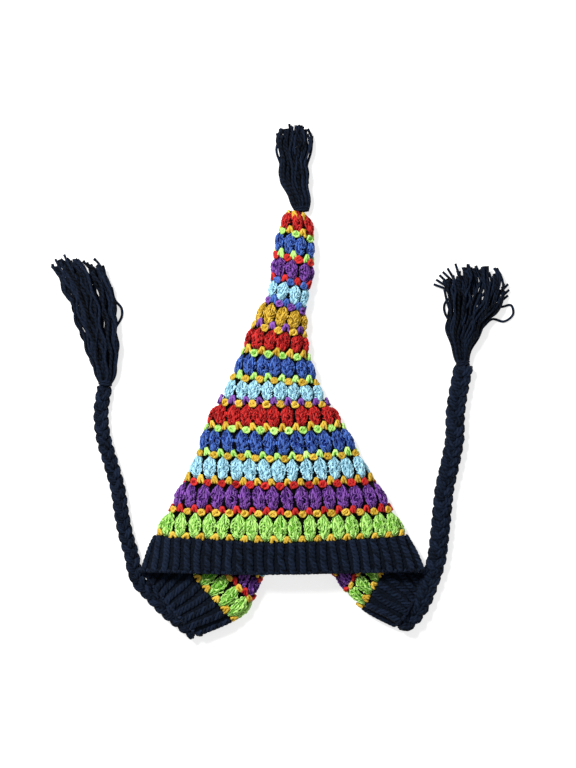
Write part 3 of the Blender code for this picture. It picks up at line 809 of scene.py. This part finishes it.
def puff_round(row, number):
    """One round of puff stitches, each a bulging bundle of drawn-up yarn loops."""
    rng = np.random.default_rng(PUFF_SEED + number)
    middle = 0.5 * (row.bottom + row.top)
    count = repeat_count(middle, row.pitch)
    drift = rng.uniform(-PUFF_DRIFT, PUFF_DRIFT, count)
    stations, length = even_stations(middle, count, puff_phase(number) + drift)
    foot = PUFF_FOOT if row.gap_yarn else FIRST_PUFF_FOOT
    places = row_places(row.bottom + foot, row.top - PUFF_HEAD, stations)
    half_width = PUFF_WIDTH * length / count
    kinds = rng.integers(0, PUFF_KINDS, count)
    flip = rng.choice([-1.0, 1.0], count)
    wide = rng.uniform(*PUFF_WIDTHS, count) * half_width
    lean = rng.uniform(-PUFF_LEAN, PUFF_LEAN, count) * half_width
    swell = rng.uniform(*PUFF_DEPTHS, count) * PUFF_DEPTH
    yarn = Yarn()
    for kind, groups in enumerate(PUFFS):
        chosen = np.flatnonzero(kinds == kind)
        if not len(chosen):
            continue
        some = places.pick(chosen)
        for paths, shades in groups:
            local = np.repeat(paths[None], len(chosen), axis=0)
            local[..., 0] *= (wide * flip)[chosen, None, None]
            local[..., 0] += local[..., 1] * lean[chosen, None, None]
            local[..., 2] *= swell[chosen, None, None]
            strands = some.put(local).reshape(-1, local.shape[2], 3)
            radius = np.full(local.shape[2], STRAND_RADIUS)
            radius[[0, -1]] *= STRAND_END
            yarn.tubes(strands, radius, STRAND_SIDES, np.tile(shades, len(chosen)))
        # Cores coloured at the yarn's dark end: painted shade between the strands.
        yarn.lumps(some.put(puff_core(wide[chosen], lean[chosen], swell[chosen])), CORE_PAINTED_SHADE)
    heights = np.linspace(row.bottom, row.top - CLOTH_GAP, CLOTH_ROWS)
    # The cloth's colour is pushed to black: painted shade in the gaps between the puffs.
    cloth(yarn, heights, 2 * count, CLOTH_HALF, CLOTH_PAINTED_SHADE)
    finish_piece(yarn, row.name + "_puffs", row.yarn, row.name)


def puff_core(wide, lean, swell):
    """Solid heart of each puff, under its strands."""
    width, depth = puff_outline(CORE_HEIGHTS)
    angle = np.arange(CORE_SIDES) * TURN / CORE_SIDES
    core = np.empty((len(wide), len(CORE_HEIGHTS), CORE_SIDES, 3))
    core[..., 0] = (wide[:, None, None] * width[:, None] * np.cos(angle) * CORE_SHARE
                    + lean[:, None, None] * CORE_HEIGHTS[:, None])
    core[..., 1] = CORE_HEIGHTS[:, None]
    core[..., 2] = swell[:, None, None] * depth[:, None] * np.sin(angle) * CORE_SHARE
    return core


def small_stitches(row, number):
    """The small stitches a round stands on: round ones under its puffs, pointed ones in its gaps."""
    rng = np.random.default_rng(STITCH_SEED + number)
    middle = 0.5 * (row.bottom + row.top)
    count = repeat_count(middle, row.pitch)
    if row.gap_yarn:
        yarn = Yarn()
        height = row.bottom + RING_LIFT
        stations, _ = even_stations(middle, count, puff_phase(number))
        ring_stitches(yarn, height, upright(stations, middle, row.bottom), rng)
        finish_piece(yarn, f"{row.name}_gap_stitches", row.gap_yarn)
    yarn = Yarn()
    height = row.bottom + (TIP_LIFT if row.gap_yarn else FIRST_TIP_LIFT)
    stations, _ = even_stations(middle, count, puff_phase(number) + 0.5)
    pointed_stitches(yarn, height, upright(stations, middle, height), rng)
    finish_piece(yarn, f"{row.name}_tip_stitches", row.tip_yarn)


def unsteady(across, up, out, rng):
    """Strands of small stitches, each turned and shifted a little, as hand work is.

    across, up and out are in mm, and up comes out as the share of the patch that `put` takes."""
    across, up, out = np.broadcast_arrays(across, up, out)
    turn = rng.uniform(-STITCH_TURN, STITCH_TURN, (len(across), 1))
    shift = rng.uniform(-STITCH_SHIFT, STITCH_SHIFT, (2, len(across), 1))
    turned = across * np.cos(turn) - up * np.sin(turn) + shift[0]
    raised = across * np.sin(turn) + up * np.cos(turn) + shift[1]
    return np.stack([turned, raised / STITCH_HALF, out], axis=-1)


def ring_stitches(yarn, height, stations, rng):
    """Round knots with a hollow middle: an uneven loop of yarn on each face, crossed by a V."""
    count = len(stations)
    places = row_places(height - STITCH_HALF, height + STITCH_HALF, stations)
    angle = np.linspace(0, TURN, RING_STEPS)
    t = np.linspace(-1, 1, CROSS_STEPS)
    for face in (1.0, -1.0):
        size = rng.uniform(*RING_SIZES, (count, 1))
        start = rng.uniform(0, TURN, (count, 1))
        wobble = 1.0 + rng.uniform(*RING_WOBBLES, (count, 1)) * np.sin(RING_LOBES * angle + start)
        across = RING_WIDTH * size * np.cos(angle + start) * wobble
        up = RING_HEIGHT * size * np.sin(angle + start) * wobble
        out = face * (RING_OUT + RING_WAVE * np.sin(2 * (angle + start)))
        ring = places.put(unsteady(across, up, out, rng))
        yarn.tubes(ring, RING_YARN, YARN_SIDES, rng.uniform(*RING_SHADES, count))
        for slant in (-1.0, 1.0):
            across = CROSS_WIDTH * t * (rng.uniform(*CROSS_LEANS, (count, 1)) * slant)
            out = face * (CROSS_OUT + CROSS_BULGE * np.cos(0.5 * math.pi * t))
            cross = places.put(unsteady(across, CROSS_HEIGHT * t, out, rng))
            yarn.tubes(cross, CROSS_YARN, STRAND_SIDES, rng.uniform(*INNER_PAINTED_SHADES, count))


def pointed_stitches(yarn, height, stations, rng):
    """Pointed clumps that reach up between two puffs: an inverted V of yarn on each face."""
    count = len(stations)
    places = row_places(height - STITCH_HALF, height + STITCH_HALF, stations)
    t = np.linspace(-1, 1, POINT_STEPS)
    for face in (1.0, -1.0):
        size = rng.uniform(*POINT_SIZES, (count, 1))
        lean = rng.uniform(-POINT_LEAN, POINT_LEAN, (count, 1))
        across = POINT_WIDTH * size * np.sign(t) * np.abs(t) ** POINT_FLARE + lean * (1 - t**2)
        up = (POINT_TOP - POINT_DROP * np.abs(t) ** POINT_CURVE) * size
        out = face * (POINT_OUT + POINT_BULGE * np.cos(math.pi * t))
        point = places.put(unsteady(across, up, out, rng))
        yarn.tubes(point, POINT_YARN, YARN_SIDES, rng.uniform(*POINT_SHADES, count))
        across = HEART_SWAY * np.sin(HEART_BEND * t) + lean * HEART_LEAN
        out = face * (HEART_OUT + HEART_BULGE * np.cos(0.5 * math.pi * t))
        heart = places.put(unsteady(across, -HEART_TOP * t * size, out, rng))
        yarn.tubes(heart, HEART_YARN, STRAND_SIDES, rng.uniform(*INNER_PAINTED_SHADES, count))


def closing_stitches():
    """The last few stitches that draw the point of the hat together."""
    yarn = Yarn()
    stations, _ = even_stations(CLOSING_HEIGHT, CLOSING_COUNT, CLOSING_PHASE)
    pointed_stitches(yarn, CLOSING_HEIGHT, stations, np.random.default_rng(CLOSING_SEED))
    finish_piece(yarn, "closing_stitches", "gold")


def hem_reach(stations):
    """How far the hem hangs past the fabric's end at some stations."""
    table = np.array(HEM_REACHES)
    return np.interp(stations, table[:, 0], table[:, 1])


def rib_band():
    """The ribbed band: ropes of yarn outside, ropes between them inside, and cloth that joins them."""
    rng = np.random.default_rng(BAND_SEED)
    middle = 0.5 * BAND_TOP
    count = repeat_count(middle, RIB_PITCH)
    yarn = Yarn()
    for face, phase in ((1.0, 0.0), (-1.0, 0.5)):
        stations, _ = even_stations(middle, count, phase)
        path, out, along = rib_paths(stations, face, rng)
        rope(yarn, path, out, along, rng)
    stations, _ = even_stations(middle, BAND_CLOTH_COUNT)
    heights = np.linspace(HEM_RISE, BAND_TOP, BAND_CLOTH_ROWS)
    # The cloth, a little darker than the ribs, is painted shade between them.
    cloth(yarn, heights, BAND_CLOTH_COUNT, BAND_CLOTH_HALF, BAND_CLOTH_PAINTED_SHADE, hem_reach(stations))
    finish_piece(yarn, "ribbed_band_stitches", "navy", "rib_band")


def rib_paths(stations, face, rng):
    """Middle of each rib: down one face of the band and round its lower edge."""
    straight = np.linspace(BAND_TOP - RIB_TOP_GAP, HEM_RISE + HEM_TURN, RIB_STEPS)
    curl = np.linspace(0, HEM_CURL, HEM_STEPS)[1:]
    heights = np.concatenate([straight, HEM_RISE + HEM_TURN * (1.0 - np.sin(curl))])
    depths = np.concatenate([np.full(len(straight), RIB_HALF_DEPTH),
                             RIB_HALF_DEPTH * np.cos(curl)]) * face
    parts = [fabric(height, upright(stations, 0.5 * BAND_TOP, height)) for height in heights]
    place, along, up, out = (np.stack(column, axis=1) for column in zip(*parts))
    start = rng.uniform(0, TURN, (len(stations), 1))
    sway = rng.uniform(*RIB_SWAYS, (len(stations), 1)) * np.sin(heights / RIB_SWAY_LENGTH + start)
    reach = hem_reach(stations)[:, None] * (1.0 - heights / BAND_TOP)
    path = place + out * depths[:, None] + along * sway[..., None] - up * reach[..., None]
    return path, out, along


def rope(yarn, path, out, along, rng):
    """Yarns twisted round each path, in an oval that is flatter out of the fabric."""
    length = arc_length(path)
    start = rng.uniform(0, TURN, (len(path), 1))
    for k in range(ROPE_YARNS):
        angle = TURN * (length / ROPE_TURN + k / ROPE_YARNS) + start
        wide = along * (ROPE_WIDE * np.cos(angle))[..., None]
        deep = out * (ROPE_DEEP * np.sin(angle))[..., None]
        shades = rng.uniform(*ROPE_SHADES, len(path))
        yarn.tubes(path + wide + deep, ROPE_YARN, ROPE_SIDES, shades, facing=out)


def cloth(yarn, heights, count, half_thickness, shade, reach=0.0):
    """Thin closed ring of fabric at the middle of the wall, behind the stitches.

    The outer points, bottom to top, and the inner ones, top to bottom, are rings of one closed tube,
    whose last ring is its first again. reach hangs the lower edge past the fabric's end."""
    stations, _ = even_stations(0.5 * (heights[0] + heights[-1]), count)
    rings = []
    for height in heights:
        wall = fabric(height, stations)
        drop = np.broadcast_to(reach * (1.0 - height / BAND_TOP), (count,))
        place = wall.place - wall.up * drop[:, None]
        rings.append(np.stack([place + wall.out * half_thickness, place - wall.out * half_thickness]))
    rings = np.array(rings)
    loop = np.concatenate([rings[:, 0], rings[::-1, 1]])
    steps, sides, _ = loop.shape
    lay = np.zeros((steps, sides, 3))
    lay[..., 0] = 1.0
    closed = tube_faces(1, steps + 1, sides)[0]
    faces = closed[: 2 * steps * sides] % (steps * sides)
    yarn.add(loop, faces, lay, np.full((steps, sides), shade))


def route_points(route, radius):
    """Evenly spaced points of the smooth curve through a tie's route, and their distances along it."""
    spine = np.array(route, float) + (0, 0, radius)
    knots = arc_length(spine)
    fine = smooth_run(spine, knots, np.linspace(0, knots[-1], ROUTE_STEPS))
    length = arc_length(fine)
    at = np.linspace(0, length[-1], round(length[-1] / TIE_STEP) + 1)
    return np.stack([np.interp(at, length, fine[:, k]) for k in range(3)], axis=-1), at


def beside(path):
    """Directions level beside a path, and square to it and to those."""
    way = unit(np.gradient(path, axis=0))
    aside = unit(np.cross(way, (0.0, 0.0, 1.0)))
    return aside, np.cross(aside, way)


def tie(side, route, radius, swell, hat_side, seed):
    """A plait of three strands, each a bundle of yarns. It opens towards the hem at its start."""
    rng = np.random.default_rng(seed)
    path, at = route_points(route, radius)
    aside, up = beside(path)
    wide = swell * radius
    strand_radius = PLAIT_STRAND * wide
    nearness = np.clip((PLAIT_OPENING - at) / PLAIT_OPENING, 0.0, 1.0)
    opening = nearness ** PLAIT_EASE * PLAIT_SPREAD
    lean = opening * PLAIT_LEAN * wide * hat_side
    yarn = Yarn()
    for k in range(PLAIT_STRANDS):
        phase = TURN * (at / PLAIT_PERIOD + k / PLAIT_STRANDS)
        sway = (wide - strand_radius) * (1.0 + opening) * np.sin(phase) + lean
        rise = PLAIT_RISE * wide * np.sin(2 * phase)
        bundle(yarn, path + aside * sway[:, None] + up * rise[:, None], strand_radius, rng)
    return finish_piece(yarn, f"tie_{side}_plait", "navy", f"tie_{side}"), path, at[-1]


def bundle(yarn, centre, radius, rng):
    """Yarns side by side round a strand's middle, turning slowly, with one in its heart."""
    aside, up = beside(centre)
    thick = BUNDLE_YARN * radius
    turn = TURN * np.arange(len(centre)) * TIE_STEP / BUNDLE_TWIST
    paths = [centre]
    for k in range(BUNDLE_YARNS):
        angle = turn + TURN * k / BUNDLE_YARNS
        paths.append(centre + aside * ((radius - thick) * np.cos(angle))[:, None]
                     + up * ((radius - thick) * np.sin(angle))[:, None])
    yarn.tubes(np.array(paths), thick, ROPE_SIDES, rng.uniform(*BUNDLE_SHADES, len(paths)))


def tassel(side, sections, trim, strays, seed):
    """Loose yarns that leave the neck together, flow side by side in waves and end in cut tips."""
    rng = np.random.default_rng(seed)
    table = np.array(sections, float)
    knots = arc_length(table[:, :2])
    steps = round(knots[-1] / TASSEL_STEP)
    paths = np.array([tassel_path(table, knots, steps, trim, rng) for _ in range(TASSEL_STRANDS)])
    swell_at = [0, NECK_END_STEPS, steps - 2, steps - 1]
    radius = TASSEL_YARN * np.interp(np.arange(steps), swell_at, [NECK_END, 1.0, 1.0, CUT_END])
    yarn = Yarn()
    yarn.tubes(paths, radius, YARN_SIDES, rng.uniform(*TASSEL_SHADES, TASSEL_STRANDS))
    for stray in strays:
        spine = np.array(stray, float)
        length = arc_length(spine)
        path = smooth_run(spine, length, np.linspace(0, length[-1], STRAY_STEPS * len(stray)))
        yarn.tubes(path[None], TASSEL_YARN, ROPE_SIDES, rng.uniform(*STRAY_SHADES, 1))
    neck_wrap(yarn, table, rng)
    return finish_piece(yarn, f"tassel_{side}_yarns", "navy", f"tassel_{side}")


def tassel_path(table, knots, steps, trim, rng):
    """Path of one loose yarn, from the neck to its cut end."""
    ring = math.sqrt(rng.uniform(TASSEL_HEART, 1.0))
    turn = rng.uniform(0, TURN)
    side = ring * math.cos(turn)
    share = rng.uniform(*TASSEL_LENGTHS) - trim.slant * side - trim.rounding * side**2
    at = np.linspace(0, knots[-1] * share, steps)
    row = smooth_run(table, knots, np.minimum(at, knots[-1]))
    way = unit(np.gradient(row[:, :2], axis=0) + PAST_END * table[-1, :2])
    over = np.maximum(at - knots[-1], 0.0)
    phase = WAVE_PHASE * side + rng.uniform(-WAVE_JITTER, WAVE_JITTER)
    swing = np.minimum(at / WAVE_START, 1.0)
    wave = swing * rng.uniform(*WAVE_WIDTHS) * np.sin(TURN * at / rng.uniform(*WAVE_LENGTHS) + phase)
    lift = swing * rng.uniform(*WAVE_HEIGHTS) * np.sin(TURN * at / rng.uniform(*WAVE_RISES) + 2 * phase)
    across = (0.5 * row[:, 2] - TASSEL_YARN) * side + wave
    high = (0.5 * row[:, 3] - TASSEL_YARN) * ring * math.sin(turn) + lift
    return np.stack([row[:, 0] + way[:, 1] * across + way[:, 0] * over,
                     row[:, 1] - way[:, 0] * across + way[:, 1] * over,
                     np.maximum(0.5 * row[:, 3] + high, TASSEL_YARN)], axis=-1)


def neck_wrap(yarn, table, rng):
    """Yarn wound round the neck of a tassel."""
    way = unit(table[1, :2] - table[0, :2])
    turns = np.linspace(0, NECK_TURNS * TURN, NECK_TURNS * NECK_STEPS)
    advance = NECK_START + turns / TURN * NECK_PITCH
    radius = 0.5 * table[0, 3] + NECK_SPREAD * advance
    height = 0.5 * table[0, 3] + radius * np.sin(turns) + NECK_LIFT
    path = np.stack([table[0, 0] + way[0] * advance + way[1] * radius * np.cos(turns),
                     table[0, 1] + way[1] * advance - way[0] * radius * np.cos(turns),
                     np.maximum(height, TASSEL_YARN)], axis=-1)
    yarn.tubes(path[None], TASSEL_YARN, ROPE_SIDES, rng.uniform(*NECK_SHADES, 1))


def camera():
    """The photograph's camera, straight above the hat."""
    data = bpy.data.cameras.new("camera")
    data.sensor_width = SENSOR
    data.lens = SENSOR * (VIEW_DISTANCE - VIEW_LEVEL) / VIEW_HEIGHT
    data.clip_end = VIEW_REACH * MM
    view = new_object("camera", data)
    view.location = (VIEW_CENTRE[0] * MM, VIEW_CENTRE[1] * MM, VIEW_DISTANCE * MM)
    bpy.context.scene.camera = view


def studio():
    """Pale floor, bright even sky and one large soft light."""
    mesh = bpy.data.meshes.new("floor")
    corners = [(-1, -1, 0), (1, -1, 0), (1, 1, 0), (-1, 1, 0)]
    mesh.from_pydata([(FLOOR_REACH * x, FLOOR_REACH * y, z) for x, y, z in corners], [], [(0, 1, 2, 3)])
    floor = new_object("floor", mesh)
    material = bpy.data.materials.new("floor_white")
    material.use_nodes = True
    shader = material.node_tree.nodes["Principled BSDF"]
    shader.inputs["Base Color"].default_value = FLOOR_COLOUR
    shader.inputs["Roughness"].default_value = FLOOR_ROUGHNESS
    shader.inputs["Emission Color"].default_value = WHITE
    shader.inputs["Emission Strength"].default_value = FLOOR_GLOW
    mesh.materials.append(material)

    world = bpy.data.worlds.new("studio")
    world.use_nodes = True
    background = world.node_tree.nodes["Background"]
    background.inputs["Color"].default_value = WHITE
    background.inputs["Strength"].default_value = SKY_STRENGTH
    bpy.context.scene.world = world

    lamp = bpy.data.lights.new("key", "AREA")
    lamp.shape = "DISK"
    lamp.size = LAMP_SIZE
    lamp.energy = LAMP_POWER
    light = new_object("key", lamp)
    light.location = LAMP_PLACE
    light.rotation_euler = [math.radians(tilt) for tilt in LAMP_TILT]
    bpy.context.scene.view_settings.view_transform = "Standard"


camera()
studio()
MATERIALS = {yarn: yarn_material(yarn) for yarn in YARN_COLOURS}
PUFFS = [puff_kind(seed) for seed in range(PUFF_KINDS)]

tassel_left = tassel("left", TASSEL_LEFT, TRIM_LEFT, STRAYS_LEFT, seed=21)
tassel_right = tassel("right", TASSEL_RIGHT, TRIM_RIGHT, STRAYS_RIGHT, seed=22)
tassel("tip", TASSEL_TIP, TRIM_TIP, STRAYS_TIP, seed=23)
# Side, route, radius, swell, the way the hat lies, seed and tassel of each tie
TIES = [("left", TIE_LEFT_ROUTE, TIE_RADIUS_LEFT, PLAIT_SWELL_LEFT, 1, 60, tassel_left),
        ("right", TIE_RIGHT_ROUTE, TIE_RADIUS_RIGHT, PLAIT_SWELL_RIGHT, -1, 72, tassel_right)]
for side, route, radius, swell, hat_side, seed, far in TIES:
    plait, path, length = tie(side, route, radius, swell, hat_side, seed)

rib_band()
for number, row in enumerate(ROUNDS):
    puff_round(row, number)
    small_stitches(row, number)
closing_stitches()
